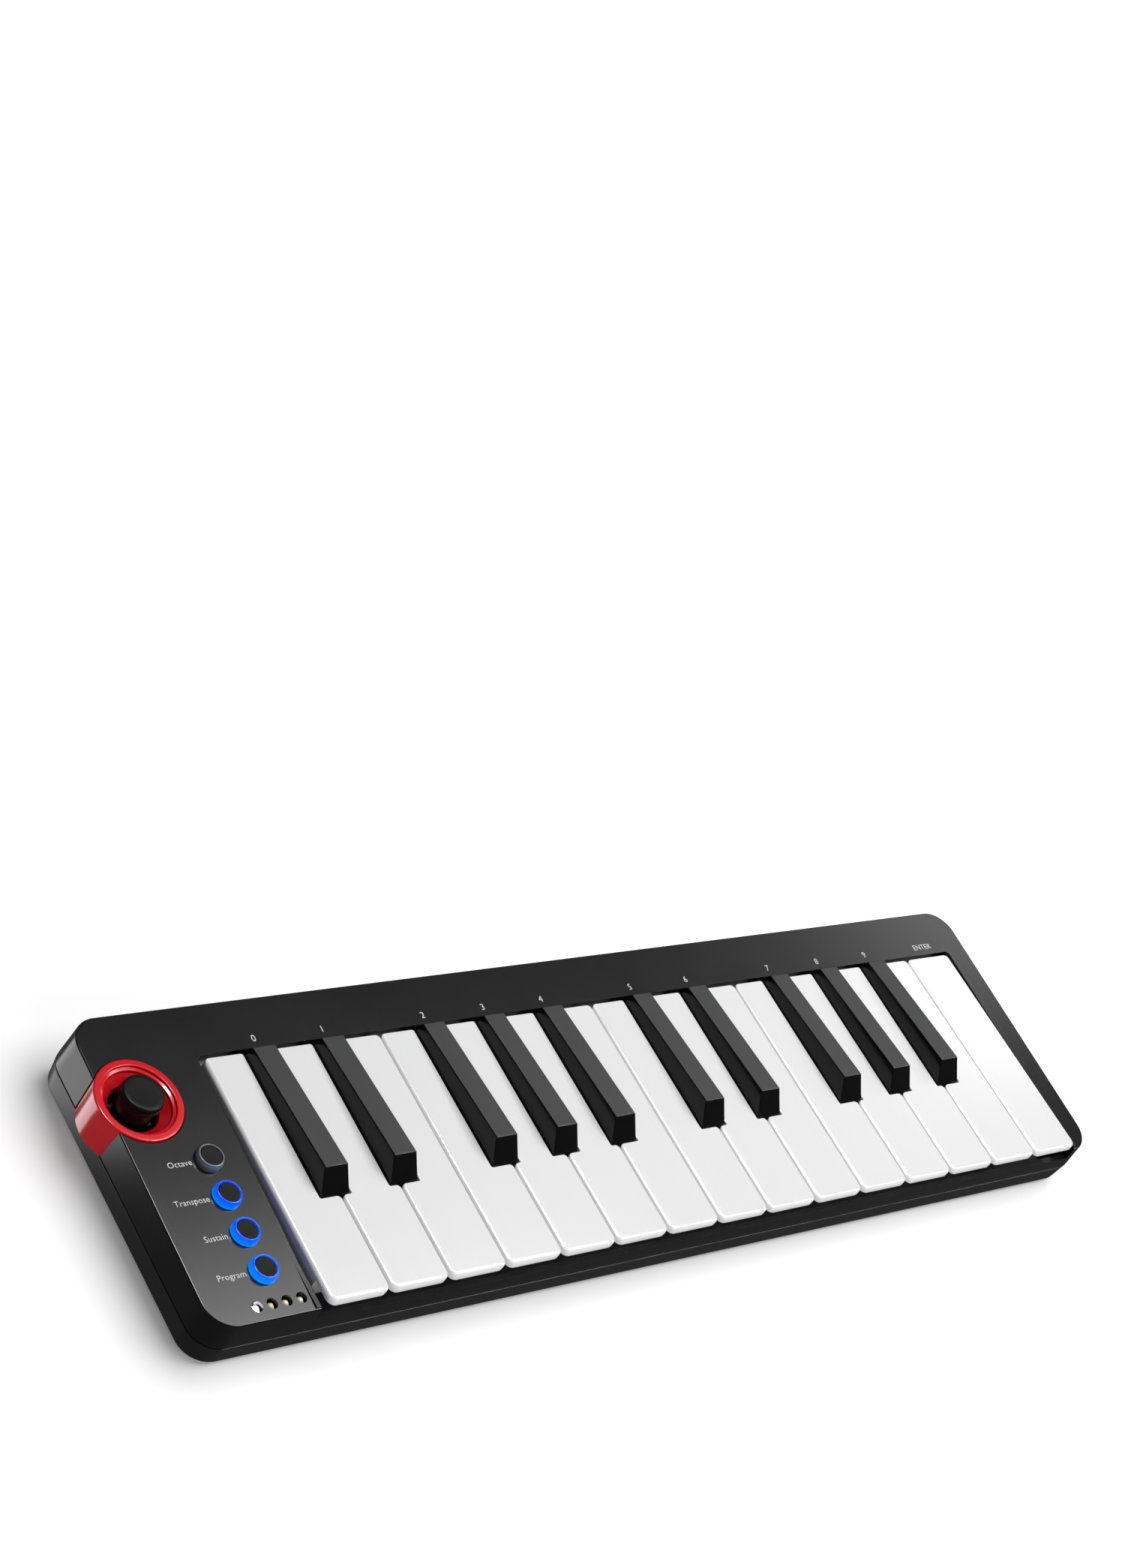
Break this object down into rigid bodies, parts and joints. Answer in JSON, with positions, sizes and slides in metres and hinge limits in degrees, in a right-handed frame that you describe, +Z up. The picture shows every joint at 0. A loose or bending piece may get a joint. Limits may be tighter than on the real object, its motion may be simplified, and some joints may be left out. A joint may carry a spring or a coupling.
{
  "type": "midi keyboard",
  "caption": "Slim desktop keyboard controller: mini piano keys, a control panel with lit push buttons, status lights and a thumb joystick in a round red bezel.",
  "frame": {"origin": "centre of the whole object's box, on the plane of the feet", "axes": "+X along the keys from the bass to the treble end, +Y from the player to the back, +Z up"},
  "size_m": [0.349, 0.096, 0.0275],
  "materials": {
    "case_top": "satin black moulded plastic, fine texture",
    "case_bottom": "satin black moulded plastic",
    "ring_red": "glossy red",
    "rubber_black": "matt rubber",
    "screw_steel": "zinc plated",
    "rod_steel": "ground steel",
    "frame_grey": "matt dark grey",
    "board_green": "solder mask",
    "silicone": "translucent silicone",
    "felt": "felt",
    "key_white": "glossy white",
    "key_black": "satin black",
    "switch_black": "matt black",
    "ribbon_grey": "satin grey",
    "socket_steel": "plated",
    "sleeve_clear": "translucent, unlit",
    "sleeve_blue": "translucent, lit blue",
    "cap_black": "matt black",
    "plunger_ivory": "matt ivory",
    "led_gold": "clear lens over gold pads",
    "stick_black": "soft-touch black",
    "gimbal_ivory": "matt ivory"
  },
  "bodies": {
    "case": {"top_shell": "case_top", "bottom_shell": "case_bottom", "joystick_ring": "ring_red", "rubber_feet": "rubber_black", "case_screws": "screw_steel", "keybed_frame": "frame_grey", "frame_screws": "screw_steel", "pivot_rod": "rod_steel", "key_board": "board_green", "dome_strip": "silicone", "stop_felts": "felt", "control_board": "board_green", "switch_bodies": "switch_black", "ribbon_cable": "ribbon_grey", "usb_socket": "socket_steel", "led_board": "board_green", "status_leds": "led_gold", "joystick_housing": "switch_black"},
    "white_key_01": {"white_key_01": "key_white"},
    "white_key_02": {"white_key_02": "key_white"},
    "white_key_03": {"white_key_03": "key_white"},
    "white_key_04": {"white_key_04": "key_white"},
    "white_key_05": {"white_key_05": "key_white"},
    "white_key_06": {"white_key_06": "key_white"},
    "white_key_07": {"white_key_07": "key_white"},
    "white_key_08": {"white_key_08": "key_white"},
    "white_key_09": {"white_key_09": "key_white"},
    "white_key_10": {"white_key_10": "key_white"},
    "white_key_11": {"white_key_11": "key_white"},
    "white_key_12": {"white_key_12": "key_white"},
    "white_key_13": {"white_key_13": "key_white"},
    "white_key_14": {"white_key_14": "key_white"},
    "white_key_15": {"white_key_15": "key_white"},
    "black_key_01": {"black_key_01": "key_black"},
    "black_key_02": {"black_key_02": "key_black"},
    "black_key_03": {"black_key_03": "key_black"},
    "black_key_04": {"black_key_04": "key_black"},
    "black_key_05": {"black_key_05": "key_black"},
    "black_key_06": {"black_key_06": "key_black"},
    "black_key_07": {"black_key_07": "key_black"},
    "black_key_08": {"black_key_08": "key_black"},
    "black_key_09": {"black_key_09": "key_black"},
    "black_key_10": {"black_key_10": "key_black"},
    "program_button": {"program_sleeve": "sleeve_blue", "program_cap": "cap_black", "program_plunger": "plunger_ivory"},
    "sustain_button": {"sustain_sleeve": "sleeve_blue", "sustain_cap": "cap_black", "sustain_plunger": "plunger_ivory"},
    "transpose_button": {"transpose_sleeve": "sleeve_blue", "transpose_cap": "cap_black", "transpose_plunger": "plunger_ivory"},
    "octave_button": {"octave_sleeve": "sleeve_clear", "octave_cap": "cap_black", "octave_plunger": "plunger_ivory"},
    "joystick_gimbal": {"joystick_gimbal": "gimbal_ivory"},
    "joystick": {"joystick_stick": "gimbal_ivory", "joystick_cap": "stick_black"}
  },
  "joints": [
    {"name": "white_key_01_press", "type": "hinge", "parent": "case", "child": "white_key_01", "pos_m": [0, 0.0376, 0.013], "axis": [1, 0, 0], "range_deg": [0, 2.67], "stiffness_Nm_per_rad": 0.4, "springref_deg": -3.44, "deforming": ["dome_strip"]},
    {"name": "white_key_02_press", "type": "hinge", "parent": "case", "child": "white_key_02", "pos_m": [0, 0.0376, 0.013], "axis": [1, 0, 0], "range_deg": [0, 2.67], "stiffness_Nm_per_rad": 0.4, "springref_deg": -3.44, "deforming": ["dome_strip"]},
    {"name": "white_key_03_press", "type": "hinge", "parent": "case", "child": "white_key_03", "pos_m": [0, 0.0376, 0.013], "axis": [1, 0, 0], "range_deg": [0, 2.67], "stiffness_Nm_per_rad": 0.4, "springref_deg": -3.44, "deforming": ["dome_strip"]},
    {"name": "white_key_04_press", "type": "hinge", "parent": "case", "child": "white_key_04", "pos_m": [0, 0.0376, 0.013], "axis": [1, 0, 0], "range_deg": [0, 2.67], "stiffness_Nm_per_rad": 0.4, "springref_deg": -3.44, "deforming": ["dome_strip"]},
    {"name": "white_key_05_press", "type": "hinge", "parent": "case", "child": "white_key_05", "pos_m": [0, 0.0376, 0.013], "axis": [1, 0, 0], "range_deg": [0, 2.67], "stiffness_Nm_per_rad": 0.4, "springref_deg": -3.44, "deforming": ["dome_strip"]},
    {"name": "white_key_06_press", "type": "hinge", "parent": "case", "child": "white_key_06", "pos_m": [0, 0.0376, 0.013], "axis": [1, 0, 0], "range_deg": [0, 2.67], "stiffness_Nm_per_rad": 0.4, "springref_deg": -3.44, "deforming": ["dome_strip"]},
    {"name": "white_key_07_press", "type": "hinge", "parent": "case", "child": "white_key_07", "pos_m": [0, 0.0376, 0.013], "axis": [1, 0, 0], "range_deg": [0, 2.67], "stiffness_Nm_per_rad": 0.4, "springref_deg": -3.44, "deforming": ["dome_strip"]},
    {"name": "white_key_08_press", "type": "hinge", "parent": "case", "child": "white_key_08", "pos_m": [0, 0.0376, 0.013], "axis": [1, 0, 0], "range_deg": [0, 2.67], "stiffness_Nm_per_rad": 0.4, "springref_deg": -3.44, "deforming": ["dome_strip"]},
    {"name": "white_key_09_press", "type": "hinge", "parent": "case", "child": "white_key_09", "pos_m": [0, 0.0376, 0.013], "axis": [1, 0, 0], "range_deg": [0, 2.67], "stiffness_Nm_per_rad": 0.4, "springref_deg": -3.44, "deforming": ["dome_strip"]},
    {"name": "white_key_10_press", "type": "hinge", "parent": "case", "child": "white_key_10", "pos_m": [0, 0.0376, 0.013], "axis": [1, 0, 0], "range_deg": [0, 2.67], "stiffness_Nm_per_rad": 0.4, "springref_deg": -3.44, "deforming": ["dome_strip"]},
    {"name": "white_key_11_press", "type": "hinge", "parent": "case", "child": "white_key_11", "pos_m": [0, 0.0376, 0.013], "axis": [1, 0, 0], "range_deg": [0, 2.67], "stiffness_Nm_per_rad": 0.4, "springref_deg": -3.44, "deforming": ["dome_strip"]},
    {"name": "white_key_12_press", "type": "hinge", "parent": "case", "child": "white_key_12", "pos_m": [0, 0.0376, 0.013], "axis": [1, 0, 0], "range_deg": [0, 2.67], "stiffness_Nm_per_rad": 0.4, "springref_deg": -3.44, "deforming": ["dome_strip"]},
    {"name": "white_key_13_press", "type": "hinge", "parent": "case", "child": "white_key_13", "pos_m": [0, 0.0376, 0.013], "axis": [1, 0, 0], "range_deg": [0, 2.67], "stiffness_Nm_per_rad": 0.4, "springref_deg": -3.44, "deforming": ["dome_strip"]},
    {"name": "white_key_14_press", "type": "hinge", "parent": "case", "child": "white_key_14", "pos_m": [0, 0.0376, 0.013], "axis": [1, 0, 0], "range_deg": [0, 2.67], "stiffness_Nm_per_rad": 0.4, "springref_deg": -3.44, "deforming": ["dome_strip"]},
    {"name": "white_key_15_press", "type": "hinge", "parent": "case", "child": "white_key_15", "pos_m": [0, 0.0376, 0.013], "axis": [1, 0, 0], "range_deg": [0, 2.67], "stiffness_Nm_per_rad": 0.4, "springref_deg": -3.44, "deforming": ["dome_strip"]},
    {"name": "black_key_01_press", "type": "hinge", "parent": "case", "child": "black_key_01", "pos_m": [0, 0.0376, 0.013], "axis": [1, 0, 0], "range_deg": [0, 2.67], "stiffness_Nm_per_rad": 0.4, "springref_deg": -3.44, "deforming": ["dome_strip"]},
    {"name": "black_key_02_press", "type": "hinge", "parent": "case", "child": "black_key_02", "pos_m": [0, 0.0376, 0.013], "axis": [1, 0, 0], "range_deg": [0, 2.67], "stiffness_Nm_per_rad": 0.4, "springref_deg": -3.44, "deforming": ["dome_strip"]},
    {"name": "black_key_03_press", "type": "hinge", "parent": "case", "child": "black_key_03", "pos_m": [0, 0.0376, 0.013], "axis": [1, 0, 0], "range_deg": [0, 2.67], "stiffness_Nm_per_rad": 0.4, "springref_deg": -3.44, "deforming": ["dome_strip"]},
    {"name": "black_key_04_press", "type": "hinge", "parent": "case", "child": "black_key_04", "pos_m": [0, 0.0376, 0.013], "axis": [1, 0, 0], "range_deg": [0, 2.67], "stiffness_Nm_per_rad": 0.4, "springref_deg": -3.44, "deforming": ["dome_strip"]},
    {"name": "black_key_05_press", "type": "hinge", "parent": "case", "child": "black_key_05", "pos_m": [0, 0.0376, 0.013], "axis": [1, 0, 0], "range_deg": [0, 2.67], "stiffness_Nm_per_rad": 0.4, "springref_deg": -3.44, "deforming": ["dome_strip"]},
    {"name": "black_key_06_press", "type": "hinge", "parent": "case", "child": "black_key_06", "pos_m": [0, 0.0376, 0.013], "axis": [1, 0, 0], "range_deg": [0, 2.67], "stiffness_Nm_per_rad": 0.4, "springref_deg": -3.44, "deforming": ["dome_strip"]},
    {"name": "black_key_07_press", "type": "hinge", "parent": "case", "child": "black_key_07", "pos_m": [0, 0.0376, 0.013], "axis": [1, 0, 0], "range_deg": [0, 2.67], "stiffness_Nm_per_rad": 0.4, "springref_deg": -3.44, "deforming": ["dome_strip"]},
    {"name": "black_key_08_press", "type": "hinge", "parent": "case", "child": "black_key_08", "pos_m": [0, 0.0376, 0.013], "axis": [1, 0, 0], "range_deg": [0, 2.67], "stiffness_Nm_per_rad": 0.4, "springref_deg": -3.44, "deforming": ["dome_strip"]},
    {"name": "black_key_09_press", "type": "hinge", "parent": "case", "child": "black_key_09", "pos_m": [0, 0.0376, 0.013], "axis": [1, 0, 0], "range_deg": [0, 2.67], "stiffness_Nm_per_rad": 0.4, "springref_deg": -3.44, "deforming": ["dome_strip"]},
    {"name": "black_key_10_press", "type": "hinge", "parent": "case", "child": "black_key_10", "pos_m": [0, 0.0376, 0.013], "axis": [1, 0, 0], "range_deg": [0, 2.67], "stiffness_Nm_per_rad": 0.4, "springref_deg": -3.44, "deforming": ["dome_strip"]},
    {"name": "program_button_press", "type": "slide", "parent": "case", "child": "program_button", "axis": [0, 0, -1], "range_m": [0, 0.0006], "stiffness_N_per_m": 1500, "springref_m": -0.0006},
    {"name": "sustain_button_press", "type": "slide", "parent": "case", "child": "sustain_button", "axis": [0, 0, -1], "range_m": [0, 0.0006], "stiffness_N_per_m": 1500, "springref_m": -0.0006},
    {"name": "transpose_button_press", "type": "slide", "parent": "case", "child": "transpose_button", "axis": [0, 0, -1], "range_m": [0, 0.0006], "stiffness_N_per_m": 1500, "springref_m": -0.0006},
    {"name": "octave_button_press", "type": "slide", "parent": "case", "child": "octave_button", "axis": [0, 0, -1], "range_m": [0, 0.0006], "stiffness_N_per_m": 1500, "springref_m": -0.0006},
    {"name": "joystick_tilt_y", "type": "hinge", "parent": "case", "child": "joystick_gimbal", "pos_m": [-0.1616, 0.0206, 0.0126], "axis": [1, 0, 0], "range_deg": [-14, 14], "stiffness_Nm_per_rad": 0.05},
    {"name": "joystick_tilt_x", "type": "hinge", "parent": "joystick_gimbal", "child": "joystick", "pos_m": [-0.1616, 0.0206, 0.0126], "axis": [0, 1, 0], "range_deg": [-14, 14], "stiffness_Nm_per_rad": 0.05}
  ]
}
